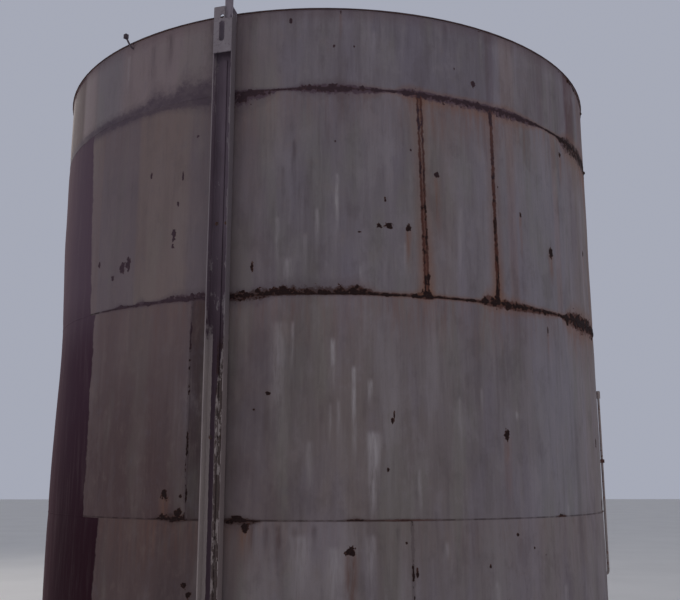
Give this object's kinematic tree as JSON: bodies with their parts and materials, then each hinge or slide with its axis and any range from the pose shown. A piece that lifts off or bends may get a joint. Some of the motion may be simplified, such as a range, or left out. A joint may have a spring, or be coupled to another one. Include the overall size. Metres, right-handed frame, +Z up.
{
  "type": "vertical storage tank",
  "caption": "Upright cylindrical steel storage tank of welded plate rings with a shallow cone roof, an outside float-gauge channel, flanged nozzles and a bolted manway.",
  "frame": {"origin": "the tank axis at the underside of the bottom plate, on the floor", "axes": "+Z up along the tank axis, -Y towards the front that the picture shows, +X to its right"},
  "size_m": [4.1415, 4.1838, 4.6137],
  "materials": {
    "shell_paint": "weathered matt pale grey paint with rust runs",
    "roof_paint": "weathered matt grey paint with dust and rust",
    "maroon_primer": "matt maroon primer",
    "white_paint": "flaking matt white paint over rust",
    "rusted_steel": "dull rusted steel"
  },
  "bodies": {
    "root": {"bottom_plate": "maroon_primer", "course_1_plate_1": "shell_paint", "course_1_plate_2": "shell_paint", "course_1_plate_3": "shell_paint", "course_1_plate_4": "shell_paint", "course_1_plate_5": "shell_paint", "course_1_plate_6": "shell_paint", "course_2_plate_1": "shell_paint", "course_2_plate_2": "shell_paint", "course_2_plate_3": "shell_paint", "course_2_plate_4": "shell_paint", "course_2_plate_5": "shell_paint", "course_3_plate_1": "shell_paint", "course_3_plate_2": "shell_paint", "course_3_plate_3": "shell_paint", "course_3_plate_4": "shell_paint", "course_3_plate_5": "shell_paint", "course_3_plate_6": "shell_paint", "drain_nozzle": "shell_paint", "gauge_bracket_1": "shell_paint", "gauge_bracket_2": "shell_paint", "gauge_bracket_3": "shell_paint", "gauge_bracket_4": "shell_paint", "gauge_channel": "white_paint", "gauge_guide": "rusted_steel", "gauge_head_plate": "white_paint", "gauge_post": "rusted_steel", "gauge_post_tie": "rusted_steel", "gauge_strip": "maroon_primer", "inlet_nozzle": "shell_paint", "manway_cover": "shell_paint", "manway_handle": "shell_paint", "manway_neck": "shell_paint", "outlet_nozzle": "shell_paint", "return_nozzle": "shell_paint", "rim_angle_back": "rusted_steel", "rim_angle_front": "rusted_steel", "rim_angle_left": "rusted_steel", "rim_angle_right": "rusted_steel", "rim_stub": "rusted_steel", "roof_plate_1": "roof_paint", "roof_plate_2": "roof_paint", "roof_plate_3": "roof_paint", "roof_plate_4": "roof_paint", "roof_vent": "rusted_steel", "roof_vent_hood": "rusted_steel", "sample_tube": "white_paint", "sample_tube_clip": "rusted_steel", "top_course_plate_1": "shell_paint", "top_course_plate_2": "shell_paint", "top_course_plate_3": "shell_paint", "top_course_plate_4": "shell_paint"}
  },
  "joints": []
}
